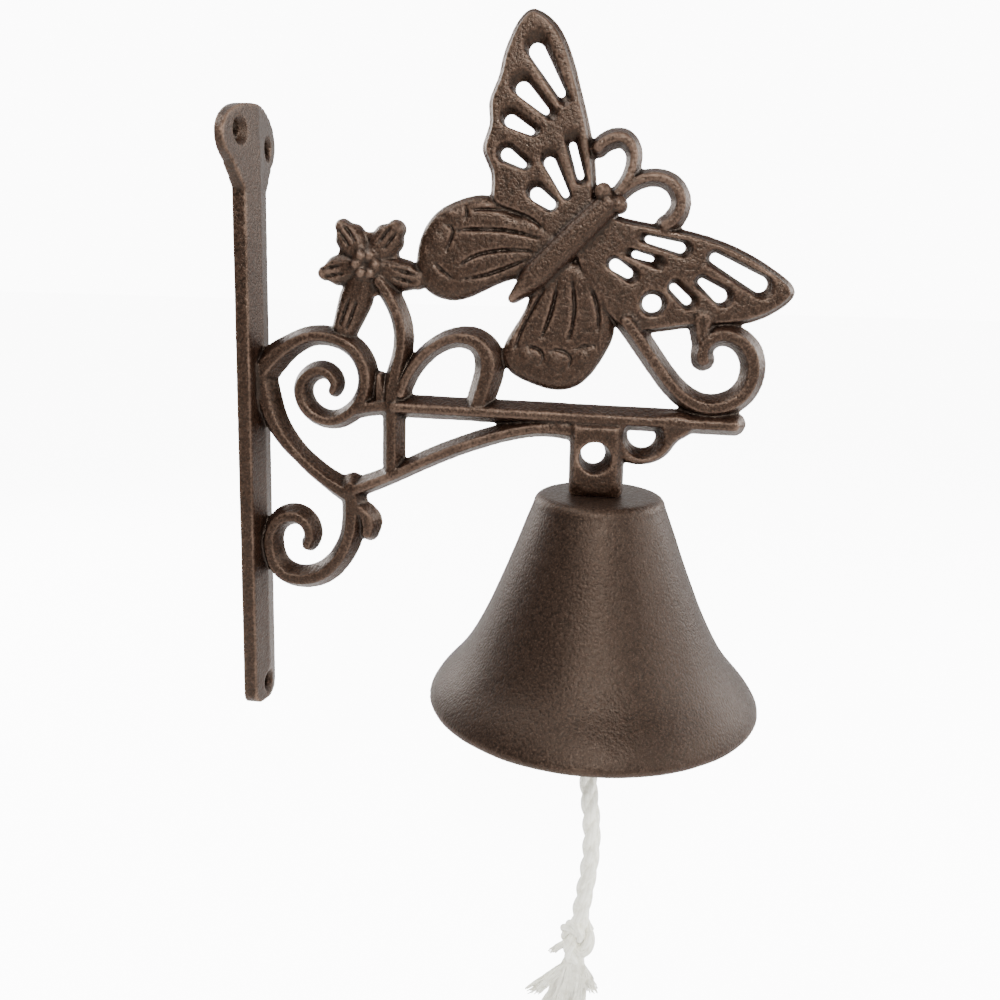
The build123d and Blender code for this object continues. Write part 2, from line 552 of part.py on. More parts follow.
def crown_nut():
    hexagon = Plane((BELL_X, 0, NUT_Z - NUT_T)) * RegularPolygon(NUT_FLATS / 2, 6, major_radius=False)
    blank = extrude(hexagon, NUT_T)
    chamfered = blank & (
        Pos(BELL_X, 0, NUT_Z - NUT_T) * Cone(
            NUT_FLATS / 2 + 0.1, NUT_FLATS / 2 + 0.1 + NUT_T, NUT_T, align=(Align.CENTER, Align.CENTER, Align.MIN)
        )
    )
    return chamfered - rod(BOLT_R, NUT_Z - NUT_T - 1, NUT_Z + 1)


def clapper_link():
    """A wire link in the plane across the bracket, so that it hooks both eyes."""
    half = LINK_STRAIGHT / 2
    path = Plane.YZ * (
        Line((LINK_R, -half), (LINK_R, half)) + ThreePointArc((LINK_R, half), (0, half + LINK_R), (-LINK_R, half))
        + Line((-LINK_R, half), (-LINK_R, -half))
        + ThreePointArc((-LINK_R, -half), (0, -half - LINK_R), (LINK_R, -half))
    )
    wire = Plane(origin=(0, LINK_R, -half), z_dir=(0, 0, 1)) * Circle(LINK_WIRE_R)
    middle_z = (LINK_TOP_Z + LINK_BOTTOM_Z) / 2
    return Pos(BELL_X, 0, middle_z) * sweep(wire, path=path)


def clapper():
    eye_z = CLAPPER_TOP_Z - CLAPPER_EYE_R
    rod_top = eye_z - CLAPPER_EYE_R
    iron = eye_ring(eye_z, CLAPPER_EYE_R, CLAPPER_EYE_WIRE_R)
    iron += rod(CLAPPER_ROD_R, CLAPPER_BALL_Z, rod_top + 0.4)
    iron += Pos(BELL_X, 0, CLAPPER_BALL_Z) * Sphere(CLAPPER_BALL_R)
    return iron + eye_ring(FOOT_EYE_Z, FOOT_EYE_R, FOOT_EYE_WIRE_R)


# Rope

ROPE_POINTS = [
    (BELL_X, 0, -208.0), (120.4, 0, -216.0), (122.0, 0, -228.0), (122.4, 0, -240.0), (120.8, 0, -254.0),
    (118.6, 0, -270.0),
]
KNOT_AT = (118.3, 0, -276.0)
TASSEL_FOOT = (112.0, 0, -309.0)


def pull_rope():
    """A tube of straight runs and arcs tangent to them, round the corner points of the route."""
    corners = ROPE_POINTS[1:-1]
    radii = []
    for before, at, after in zip(ROPE_POINTS, corners, ROPE_POINTS[2:]):
        into, out = Vector(*at) - Vector(*before), Vector(*after) - Vector(*at)
        half_turn = into.get_angle(out) * pi / 360
        radii.append(0.45 * min(into.length, out.length) / tan(half_turn))
    route = FilletPolyline(*ROPE_POINTS, radius=radii)
    print("rope bend radii", [round(r, 1) for r in radii], "length", round(route.length, 1))
    start = Plane(origin=ROPE_POINTS[0], z_dir=route % 0)
    rope = sweep(start * Circle(ROPE_D / 2), path=route)
    print("rope volume share", round(rope.volume / (route.length * pi * ROPE_D ** 2 / 4), 4))
    return rope


def ellipsoid(at, r, half_height):
    """A round lump turned about its own upright axis."""
    arc = Edge.make_ellipse(r, half_height, start_angle=-90, end_angle=90)
    side = Edge.make_line(arc.position_at(1), arc.position_at(0))
    return Pos(*at) * revolve(Plane.XZ * Face(Wire([arc, side])), Axis.Z)


def rope_hitch(rope, held):
    """The rope's turn through the clapper's foot eye, and the knot that closes it."""
    turn = Pos(BELL_X, 0, TURN_Z) * Rot(0, 90, 0) * Torus(TURN_R, TURN_ROPE_R)
    knot = ellipsoid((BELL_X, 0, HITCH_Z), HITCH_R, HITCH_HALF_H)
    return turn + knot - held - rope


def rope_knot(rope):
    return ellipsoid(KNOT_AT, KNOT_R, KNOT_HALF_H) - rope


def rope_tassel(knot):
    top = Vector(*KNOT_AT) - Vector(0, 0, KNOT_HALF_H - 1.5)
    foot = Vector(*TASSEL_FOOT)
    along = foot - top
    shares = [
        (0.0, TASSEL_TOP_R), (0.35, 0.55 * TASSEL_FOOT_R), (0.8, 0.97 * TASSEL_FOOT_R), (1.0, 0.9 * TASSEL_FOOT_R),
    ]
    sections = [Plane(origin=top + along * s, z_dir=(0, 0, 1)) * Ellipse(r, 0.6 * r) for s, r in shares]
    return loft(sections, ruled=True) - knot


def write(name, shape):
    solids = shape.solids()
    assert len(solids) == 1, (name, len(solids))
    export_step(solids[0], f"parts/{name}.step")


os.makedirs("parts", exist_ok=True)
the_clapper, the_rope = clapper(), pull_rope()
the_knot = rope_knot(the_rope)
write("bracket", bracket())
write("bell", bell())
write("eye_bolt", eye_bolt())
write("crown_washer", ring_at(WASHER_Z, WASHER_R, BOLT_R, WASHER_T))
write("crown_nut", crown_nut())
write("clapper_link", clapper_link())
write("clapper", the_clapper)
write("pull_rope", the_rope)
write("rope_hitch", rope_hitch(the_rope, the_clapper))
write("rope_knot", the_knot)
write("rope_tassel", rope_tassel(the_knot))
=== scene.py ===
# %% [markdown]
# # A cast-iron wall bell with a butterfly
# A small door bell: a scrolled iron bracket stands out of the wall, a cone-shaped bell is bolted under its
# arm, and a soft cotton rope hangs from the clapper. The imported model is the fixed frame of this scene. Every
# piece made here lies in that frame, in metres, with X out of the wall, Y across it and Z up.

# %% Load the frame
import bmesh
import bpy
import math
from mathutils import Matrix, Vector


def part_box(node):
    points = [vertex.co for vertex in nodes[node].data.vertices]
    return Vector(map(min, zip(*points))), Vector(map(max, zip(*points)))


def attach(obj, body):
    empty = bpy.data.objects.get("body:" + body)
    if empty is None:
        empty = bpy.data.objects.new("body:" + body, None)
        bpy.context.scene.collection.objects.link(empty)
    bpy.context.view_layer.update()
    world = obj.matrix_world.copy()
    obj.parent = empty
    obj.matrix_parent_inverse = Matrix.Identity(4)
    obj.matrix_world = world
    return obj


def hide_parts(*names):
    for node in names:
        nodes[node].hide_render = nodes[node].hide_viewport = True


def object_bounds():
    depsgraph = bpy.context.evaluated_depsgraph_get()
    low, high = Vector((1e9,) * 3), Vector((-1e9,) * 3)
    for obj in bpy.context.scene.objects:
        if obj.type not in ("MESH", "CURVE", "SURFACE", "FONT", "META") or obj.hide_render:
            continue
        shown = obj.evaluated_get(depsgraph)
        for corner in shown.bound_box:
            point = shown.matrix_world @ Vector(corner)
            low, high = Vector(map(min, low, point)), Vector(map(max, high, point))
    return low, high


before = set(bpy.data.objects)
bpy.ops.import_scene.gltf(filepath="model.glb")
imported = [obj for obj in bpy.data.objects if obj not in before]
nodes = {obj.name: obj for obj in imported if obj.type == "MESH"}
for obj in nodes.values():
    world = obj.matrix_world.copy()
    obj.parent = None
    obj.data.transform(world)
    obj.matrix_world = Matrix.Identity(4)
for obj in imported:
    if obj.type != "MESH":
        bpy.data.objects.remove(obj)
cad_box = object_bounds()
MM = 0.001
FULL_TURN = 2 * math.pi
print("nodes", sorted(nodes))

# %% [markdown]
# ## The camera
# The photograph was taken from close by, straight in front of the bell, from a little above the arm and
# turned a little towards the wall. A long way off, the wall bar would show no front face at all, so the
# nearness matters as much as the angle. The camera's own axes are built from its heading, its dip and a
# slight roll, and put in a matrix.

# %% Camera
CAMERA_PLACE = Vector((0.1317, -0.3205, -0.0349))
HEADING, DIP, ROLL = math.radians(8.0), math.radians(10.43), math.radians(1.32)
LENS_MM, SENSOR_MM = 36.0, 36.0
AXIS_HEIGHT = -0.06
NEAR_LIMIT = 0.01


def aimed_camera():
    ahead = Vector((
        -math.sin(HEADING) * math.cos(DIP), math.cos(HEADING) * math.cos(DIP), -math.sin(DIP),
    ))
    level_right = Vector((math.cos(HEADING), math.sin(HEADING), 0))
    level_up = level_right.cross(ahead)
    right = math.cos(ROLL) * level_right + math.sin(ROLL) * level_up
    up = math.cos(ROLL) * level_up - math.sin(ROLL) * level_right
    data = bpy.data.cameras.new("camera")
    data.lens, data.sensor_width, data.shift_y = LENS_MM, SENSOR_MM, AXIS_HEIGHT
    data.clip_start = NEAR_LIMIT
    camera = bpy.data.objects.new("camera", data)
    bpy.context.scene.collection.objects.link(camera)
    axes = Matrix((right, up, -ahead)).transposed().to_4x4()
    camera.matrix_world = Matrix.Translation(CAMERA_PLACE) @ axes
    bpy.context.scene.camera = camera


aimed_camera()
print("camera at", tuple(CAMERA_PLACE))

# %% [markdown]
# ## Building node trees in a script
# Every finish and every shape tree below is a small graph of nodes. A few helpers keep those graphs short
# to write. They add a node and fill its inputs, do arithmetic on numbers and on vectors, map one run of
# values to another, mix two colours, and start a material or a group.

# %% Node helpers
GEOMETRY, NUMBER, COUNT = "NodeSocketGeometry", "NodeSocketFloat", "NodeSocketInt"
MATERIAL = "NodeSocketMaterial"
COLOUR_A, COLOUR_B, COLOUR_OUT = 6, 7, 2


def fill(tree, node, values):
    """Fills inputs by name or number: an output is linked, and anything else becomes the input's value."""
    for key, value in values.items():
        if isinstance(value, bpy.types.NodeSocket):
            tree.links.new(value, node.inputs[key])
        else:
            node.inputs[key].default_value = value
    return node


def add(tree, kind, values=None, **settings):
    """A new node of that kind, its settings applied and its inputs filled."""
    node = tree.nodes.new(kind)
    for key, value in settings.items():
        setattr(node, key, value)
    return fill(tree, node, values or {})


def maths(tree, operation, a, b=None, c=None):
    values = {i: v for i, v in enumerate((a, b, c)) if v is not None}
    return add(tree, "ShaderNodeMath", values, operation=operation).outputs[0]


def vector_maths(tree, operation, a, b):
    """Two vectors combined; a dot product comes out as a number."""
    node = add(tree, "ShaderNodeVectorMath", {0: a, 1: b}, operation=operation)
    return node.outputs["Value" if operation == "DOT_PRODUCT" else "Vector"]


def scaled(tree, vector, scale):
    return add(tree, "ShaderNodeVectorMath", {0: vector, "Scale": scale}, operation="SCALE").outputs[0]


def span(tree, value, low, high, to_low=0.0, to_high=1.0):
    """value's run from low to high mapped to another run, and held at its ends."""
    values = {"Value": value, "From Min": low, "From Max": high, "To Min": to_low, "To Max": to_high}
    return add(tree, "ShaderNodeMapRange", values).outputs[0]


def mixed(tree, factor, a, b):
    values = {"Factor": factor, COLOUR_A: a, COLOUR_B: b}
    return add(tree, "ShaderNodeMix", values, data_type="RGBA").outputs[COLOUR_OUT]


def noise(tree, where, scale, detail, roughness=0.5, result=0):
    values = {"Vector": where, "Scale": scale, "Detail": detail, "Roughness": roughness}
    return add(tree, "ShaderNodeTexNoise", values).outputs[result]


def new_material(name):
    material = bpy.data.materials.new(name)
    material.use_nodes = True
    return material, material.node_tree, material.node_tree.nodes["Principled BSDF"]


def bumped(tree, surface, height, strength, depth):
    """Roughens a surface with a bump of that depth."""
    values = {"Strength": strength, "Distance": depth, "Height": height}
    tree.links.new(add(tree, "ShaderNodeBump", values).outputs[0], surface.inputs["Normal"])


def new_group(name, kind, inputs, outputs):
    """A node group with named sockets; returns the tree and its input and output nodes."""
    group = bpy.data.node_groups.new(name, kind)
    for title, socket, value in inputs:
        made = group.interface.new_socket(title, in_out="INPUT", socket_type=socket)
        if value is not None:
            made.default_value = value
    for title, socket in outputs:
        group.interface.new_socket(title, in_out="OUTPUT", socket_type=socket)
    return group, group.nodes.new("NodeGroupInput"), group.nodes.new("NodeGroupOutput")


def shape_tree(name, titles):
    """A tree that takes a shape, some values and a material, and gives a shape."""
    inputs = [("Geometry", GEOMETRY, None), *((t, s, None) for t, s in titles), ("Material", MATERIAL, None)]
    return new_group(name, "GeometryNodeTree", inputs, [("Geometry", GEOMETRY)])


def stored(tree, shape, title, value, kind):
    """shape with a named attribute on its points, for the finish to read."""
    values = {"Geometry": shape, "Name": title, "Value": value}
    return add(tree, "GeometryNodeStoreNamedAttribute", values, data_type=kind, domain="POINT").outputs[0]


def end_tree(tree, given, result, shape):
    """Ends a shape tree: smooth shading, a real mesh, and the tree's material on it."""
    smooth = add(tree, "GeometryNodeSetShadeSmooth", {"Geometry": shape}).outputs[0]
    real = add(tree, "GeometryNodeRealizeInstances", {"Geometry": smooth}).outputs[0]
    values = {"Geometry": real, "Material": given.outputs["Material"]}
    tree.links.new(add(tree, "GeometryNodeSetMaterial", values).outputs[0], result.inputs[0])
    return tree


# %% [markdown]
# ## A sand-cast skin
# Iron poured into sand comes out with no sharp edge anywhere, a fine grain all over and a faint waviness. A
# fillet on every crossing rib would be hard to draw, and a bump alone can't round an edge. So a copy of the
# solid is remeshed into small even cells, which joins the ribs, then smoothed a little, which rounds them,
# and a Geometry Nodes tree moves the skin in and out by two sizes of noise. The same tree compares each point
# with the middle of its surroundings: ridges stand out from it and hollows lie below it. It stores that as an
# attribute, so that the finish can be rubbed bright where a hand or a brush would reach, and darkened in the
# hollows, partly as dark lacquer and partly as painted shade.

# %% Cast skin tree
WAVE_DETAIL, GRAIN_DETAIL = 1.0, 3.0
NOISE_MIDDLE = 0.5


def cast_skin_tree():
    tree, given, result = shape_tree("cast_skin", [
        ("Wave size", NUMBER), ("Wave height", NUMBER), ("Grain size", NUMBER), ("Grain height", NUMBER),
        ("Ridge reach", COUNT),
    ])
    place = add(tree, "GeometryNodeInputPosition").outputs[0]
    normal = add(tree, "GeometryNodeInputNormal").outputs[0]
    blur = {"Value": place, "Iterations": given.outputs["Ridge reach"]}
    around = add(tree, "GeometryNodeBlurAttribute", blur, data_type="FLOAT_VECTOR").outputs[0]
    standing = vector_maths(tree, "SUBTRACT", place, around)
    ridge = vector_maths(tree, "DOT_PRODUCT", standing, normal)
    in_mm = maths(tree, "MULTIPLY", ridge, 1 / MM)
    marked = stored(tree, given.outputs["Geometry"], "ridge", in_mm, "FLOAT")
    moves = []
    for title, detail in (("Wave", WAVE_DETAIL), ("Grain", GRAIN_DETAIL)):
        scale = maths(tree, "DIVIDE", 1.0, given.outputs[title + " size"])
        centred = maths(tree, "SUBTRACT", noise(tree, place, scale, detail), NOISE_MIDDLE)
        moves.append(maths(tree, "MULTIPLY", centred, given.outputs[title + " height"]))
    amount = maths(tree, "MULTIPLY", maths(tree, "ADD", moves[0], moves[1]), 1 / NOISE_MIDDLE)
    offset = scaled(tree, normal, amount)
    moved = add(tree, "GeometryNodeSetPosition", {"Geometry": marked, "Offset": offset}).outputs[0]
    return end_tree(tree, given, result, moved)


CAST_SKIN = cast_skin_tree()

# %% Helpers that turn live modifiers into plain meshes
SAME_POINT = 1e-6
SMOOTH_STEP = 0.5


def link_object(name, data):
    made = bpy.data.objects.new(name, data)
    bpy.context.scene.collection.objects.link(made)
    return made


def frozen(piece, name):
    """The evaluated piece as a plain mesh object, in place of the live one."""
    depsgraph = bpy.context.evaluated_depsgraph_get()
    data = bpy.data.meshes.new_from_object(piece.evaluated_get(depsgraph))
    bpy.data.objects.remove(piece)
    made = link_object(name, data)
    data.name = name
    return made


def with_tree(piece, tree, values):
    """A Geometry Nodes modifier on piece, its inputs set by their names."""
    modifier = piece.modifiers.new("nodes", "NODES")
    modifier.node_group = tree
    for item in tree.interface.items_tree:
        if item.in_out == "INPUT" and item.name in values:
            modifier[item.identifier] = values[item.name]
    return piece


def triangles(piece):
    piece.data.calc_loop_triangles()
    return len(piece.data.loop_triangles)


def cast_copy(node, cell, rounding, skin):
    """A rounded, grained copy of a CAD node's iron."""
    data = nodes[node].data.copy()
    merged = bmesh.new()
    merged.from_mesh(data)
    bmesh.ops.remove_doubles(merged, verts=merged.verts, dist=SAME_POINT)
    merged.to_mesh(data)
    merged.free()
    piece = link_object(node + "_live", data)
    remesh = piece.modifiers.new("remesh", "REMESH")
    remesh.mode, remesh.voxel_size = "VOXEL", cell
    smooth = piece.modifiers.new("smooth", "SMOOTH")
    smooth.factor, smooth.iterations = SMOOTH_STEP, rounding
    with_tree(piece, CAST_SKIN, skin)
    made = frozen(piece, node + "_cast")
    print(made.name, "triangles", triangles(made))
    return made


def thinned(piece, most):
    """piece with its flattest edges collapsed until about that many triangles are left."""
    name = piece.name
    decimate = piece.modifiers.new("thin", "DECIMATE")
    decimate.ratio = most / triangles(piece)
    made = frozen(piece, name + "_thin")
    made.name = name
    print(name, "thinned to", triangles(made))
    return made


# %% [markdown]
# ## Rubbed brown iron
# The real finish is a dark brown lacquer over rough iron, rubbed back to a warm grey-tan on every ridge. It
# has three colours: nearly black in the hollows, which is partly dark lacquer and partly painted shade, brown
# on the flats and tan on the ridges. The stored ridge attribute picks between them, broken up by noise so that
# no edge is cleanly outlined. The grain is a group of its own, because the steel parts use it too, with a
# smaller size.

# %% Grain group
GRAIN_MM, PATCH_MM = 0.8, 12.0
SPECKLE_FINER, SPECKLE_ROUGHNESS = 1.7, 0.7
SPECKLE_SPAN, PATCH_SPAN = (0.56, 0.72), (0.35, 0.65)


def grain_group():
    group, given, result = new_group(
        "grain", "ShaderNodeTree", [("Size mm", NUMBER, GRAIN_MM), ("Patch mm", NUMBER, PATCH_MM)],
        [("Fine", NUMBER), ("Speckle", NUMBER), ("Patches", NUMBER)],
    )
    where = add(group, "ShaderNodeTexCoord").outputs["Object"]
    fine_scale = maths(group, "DIVIDE", 1 / MM, given.outputs["Size mm"])
    patch_scale = maths(group, "DIVIDE", 1 / MM, given.outputs["Patch mm"])
    speckle_scale = maths(group, "MULTIPLY", fine_scale, SPECKLE_FINER)
    cells = noise(group, where, speckle_scale, 1.0, SPECKLE_ROUGHNESS)
    patches = noise(group, where, patch_scale, 3.0)
    fill(group, result, {
        "Fine": noise(group, where, fine_scale, 3.0), "Speckle": span(group, cells, *SPECKLE_SPAN),
        "Patches": span(group, patches, *PATCH_SPAN),
    })
    return group


GRAIN = grain_group()

# %% Iron
# Nearly black in the hollows: partly dark lacquer, partly painted shade.
HOLLOW_LACQUER_AND_SHADE = (0.0018, 0.001, 0.0007, 1)
FLAT_BROWN = (0.014, 0.0060, 0.0032, 1)
BELL_BROWN = (0.012, 0.0062, 0.0040, 1)
RIDGE_TAN = (0.22, 0.145, 0.105, 1)
LACQUER_TINT = (1.0, 0.78, 0.62, 1)
FINE_SPAN, CONTRAST_SPAN = (0.3, 0.7), (0.36, 0.64)
UNEVEN_MM, WORN_MM, HOLLOW_LACQUER_AND_SHADE_MM = 0.06, (0.06, 0.38), (0.02, -0.14)
LEAST_WORN, MOST_HOLLOW_LACQUER_AND_SHADE = 0.35, 0.9
DARKER, PALER = 0.5, 1.5
MOTTLED, SPECKLED = 0.45, 0.12
METAL_GAIN, METAL_LEAST = 0.35, 0.15
ROUGHNESS_SPREAD = 0.18
IRON_BUMP, IRON_BUMP_DEPTH = 0.9, 0.30 * MM


def rubbed_iron(name, rubbed, flat, smoothest, gloss):
    """Brown lacquered iron; rubbed is how far the ridges are worn, flat the colour between them."""
    material, tree, surface = new_material(name)
    grain = add(tree, "ShaderNodeGroup", node_tree=GRAIN).outputs
    ridge = add(tree, "ShaderNodeAttribute", attribute_name="ridge").outputs["Fac"]
    uneven = maths(tree, "ADD", ridge, span(tree, grain["Fine"], *FINE_SPAN, -UNEVEN_MM, UNEVEN_MM))
    patchy = span(tree, grain["Patches"], 0.0, 1.0, LEAST_WORN, 1.0)
    worn = maths(tree, "MULTIPLY", span(tree, uneven, *WORN_MM, 0.0, rubbed), patchy)
    # Hollows go nearly black: partly dark lacquer pooled there, partly painted shade.
    hollow_lacquer_and_shade = span(tree, uneven, *HOLLOW_LACQUER_AND_SHADE_MM, 0.0, MOST_HOLLOW_LACQUER_AND_SHADE)
    dark, pale = ([share * c for c in flat[:3]] + [1] for share in (DARKER, PALER))
    grained = mixed(tree, span(tree, grain["Fine"], *CONTRAST_SPAN), dark, pale)
    mottled = mixed(tree, maths(tree, "MULTIPLY", grain["Patches"], MOTTLED), grained, flat)
    speckled = mixed(tree, maths(tree, "MULTIPLY", grain["Speckle"], SPECKLED), mottled, RIDGE_TAN)
    brown_with_dark_hollows = mixed(tree, hollow_lacquer_and_shade, speckled, HOLLOW_LACQUER_AND_SHADE)
    fill(tree, surface, {
        "Base Color": mixed(tree, worn, brown_with_dark_hollows, RIDGE_TAN),
        "Roughness": span(tree, grain["Fine"], *FINE_SPAN, smoothest, smoothest + ROUGHNESS_SPREAD),
        "Metallic": maths(tree, "MULTIPLY_ADD", worn, METAL_GAIN, METAL_LEAST),
        "Specular IOR Level": gloss, "Specular Tint": LACQUER_TINT,
    })
    bumped(tree, surface, grain["Fine"], IRON_BUMP, IRON_BUMP_DEPTH)
    return material


BRACKET_IRON = rubbed_iron("bracket_iron", rubbed=0.9, flat=FLAT_BROWN, smoothest=0.28, gloss=0.4)
BELL_IRON = rubbed_iron("bell_iron", rubbed=0.2, flat=BELL_BROWN, smoothest=0.34, gloss=0.3)

# %% [markdown]
# ## The iron castings
# The bracket needs the finest cells, because its feathers and flower are small. The bell is one broad smooth
# sweep, so bigger cells carry it, with more waviness. The clapper is rough iron that nobody sees, and takes
# the same skin. Rounding is how many times a mesh is smoothed, and a ridge's reach is counted in cells.

# %% Castings
BRACKET_CELL, BELL_CELL, CLAPPER_CELL = 0.48 * MM, 1.0 * MM, 0.6 * MM
BRACKET_ROUNDING, BELL_ROUNDING, CLAPPER_ROUNDING = 3, 2, 1
BRACKET_TRIANGLES = 190000


def skin(material, reach, wave_height, wave_size, grain_height, grain_size):
    """The cast skin tree's values, with the wave's and the grain's lengths given in millimetres."""
    return {
        "Wave height": wave_height * MM, "Wave size": wave_size * MM, "Grain height": grain_height * MM,
        "Grain size": grain_size * MM, "Ridge reach": reach, "Material": material,
    }


bracket = thinned(cast_copy("bracket", BRACKET_CELL, BRACKET_ROUNDING, skin(
    BRACKET_IRON, reach=7, wave_height=0.10, wave_size=14, grain_height=0.10, grain_size=1.6,
)), BRACKET_TRIANGLES)
bell = cast_copy("bell", BELL_CELL, BELL_ROUNDING, skin(
    BELL_IRON, reach=4, wave_height=0.22, wave_size=20, grain_height=0.07, grain_size=2.2,
))
clapper = cast_copy("clapper", CLAPPER_CELL, CLAPPER_ROUNDING, skin(
    BELL_IRON, reach=4, wave_height=0.1, wave_size=10, grain_height=0.08, grain_size=1.5,
))
for piece, node, body in (
    (bracket, "bracket", "bracket_and_bell"), (bell, "bell", "bracket_and_bell"),
    (clapper, "clapper", "clapper_and_rope"),
):
    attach(piece, body)
    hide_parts(node)

# %% [markdown]
# ## Steel fittings
# The eye bolt, washer, nut and link are bought parts in dull zinc. Their CAD shapes are already right, so
# they only get a finish.

# %% Steel
ZINC_GRAIN_MM, ZINC_PATCH_MM = 0.5, 4.0
ZINC_DARK, ZINC_PALE = (0.30, 0.29, 0.27, 1), (0.46, 0.45, 0.43, 1)
ZINC_METAL = 0.9
ZINC_ROUGHNESS = (0.35, 0.5)
ZINC_BUMP, ZINC_BUMP_DEPTH = 0.2, 0.1 * MM


def dull_zinc():
    material, tree, surface = new_material("dull_zinc")
    sizes = {"Size mm": ZINC_GRAIN_MM, "Patch mm": ZINC_PATCH_MM}
    grain = add(tree, "ShaderNodeGroup", sizes, node_tree=GRAIN).outputs
    fill(tree, surface, {
        "Base Color": mixed(tree, grain["Patches"], ZINC_DARK, ZINC_PALE), "Metallic": ZINC_METAL,
        "Roughness": span(tree, grain["Fine"], *FINE_SPAN, *ZINC_ROUGHNESS),
    })
    bumped(tree, surface, grain["Fine"], ZINC_BUMP, ZINC_BUMP_DEPTH)
    return material


ZINC = dull_zinc()
for node in ("eye_bolt", "crown_washer", "crown_nut", "clapper_link"):
    data = nodes[node].data
    data.materials.clear()
    data.materials.append(ZINC)
    for face in data.polygons:
        face.material_index = 0

# %% [markdown]
# ## Soft cotton
# The rope is undyed cotton: soft, nearly white, with faint twisted yarns. Each strand carries an attribute
# with its angle round itself and its length along itself, so the yarns can wind round it at any curve. Its
# colour goes darker in the dips between yarns and in the fuzz, as painted shade, and in random tufts of darker
# tone.

# %% Cotton
YARNS, YARN_TWIST = 6.0, 900.0
FUZZ_SCALE, TUFT_SCALE = 2200.0, 450.0
FUZZ_SHARE = 0.5
HEIGHT_SPAN, TUFT_SPAN = (0.0, 0.6), (0.32, 0.5)
# The darker cotton colour is painted shade in the dips and a random darker tone in tufts.
COTTON_LIGHT, COTTON_DIP_SHADE_AND_TONE = (0.98, 0.96, 0.84, 1), (0.78, 0.75, 0.62, 1)
COTTON_ROUGHNESS, COTTON_GLOSS, COTTON_SHEEN = 0.95, 0.15, 0.4
COTTON_BUMP, COTTON_BUMP_DEPTH = 0.5, 0.3 * MM


def cotton(name, with_yarns):
    material, tree, surface = new_material(name)
    where = add(tree, "ShaderNodeTexCoord").outputs["Object"]
    fuzz = noise(tree, where, FUZZ_SCALE, 3.0)
    height = fuzz
    if with_yarns:
        lay = add(tree, "ShaderNodeAttribute", attribute_name="lay").outputs["Vector"]
        x, y, run = add(tree, "ShaderNodeSeparateXYZ", {0: lay}).outputs
        wound = maths(tree, "MULTIPLY", maths(tree, "ARCTAN2", y, x), YARNS)
        phase = maths(tree, "MULTIPLY_ADD", run, YARN_TWIST, wound)
        yarn = maths(tree, "MULTIPLY_ADD", maths(tree, "SINE", phase), 0.5, 0.5)
        height = maths(tree, "MULTIPLY_ADD", fuzz, FUZZ_SHARE, yarn)
    tufts = noise(tree, where, TUFT_SCALE, 2.0)
    # Darker where the yarns and fuzz dip, as painted shade, and in random tufts of darker tone.
    dip_shade_and_tufts = maths(tree, "MULTIPLY", span(tree, height, *HEIGHT_SPAN), span(tree, tufts, *TUFT_SPAN))
    fill(tree, surface, {
        "Base Color": mixed(tree, dip_shade_and_tufts, COTTON_DIP_SHADE_AND_TONE, COTTON_LIGHT), "Roughness": COTTON_ROUGHNESS,
        "Specular IOR Level": COTTON_GLOSS, "Sheen Weight": COTTON_SHEEN,
    })
    bumped(tree, surface, height, COTTON_BUMP, COTTON_BUMP_DEPTH)
    return material


ROPE_COTTON, LINT_COTTON = cotton("rope_cotton", True), cotton("lint_cotton", False)

# %% [markdown]
# ## Laid rope from a route
# A laid rope is a few strands that wind round one line. The tree below takes any line of points, copies it
# once for each strand, pushes each copy off the line by an angle that grows with the length, and gives each
# a round section. Three strands with a slow twist look like the soft rope of the photograph.

# %% Laid rope tree
STRANDS, STRAND_STEP, STRAND_SIDES = 3, 0.6 * MM, 12


def captured(tree, shape, title, value):
    """shape with a value kept on its points, and that value; title names it."""
    node = add(tree, "GeometryNodeCaptureAttribute", {"Geometry": shape}, domain="POINT")
    node.capture_items.new("FLOAT", title)
    tree.links.new(value, node.inputs[title])
    return node.outputs["Geometry"], node.outputs[title]


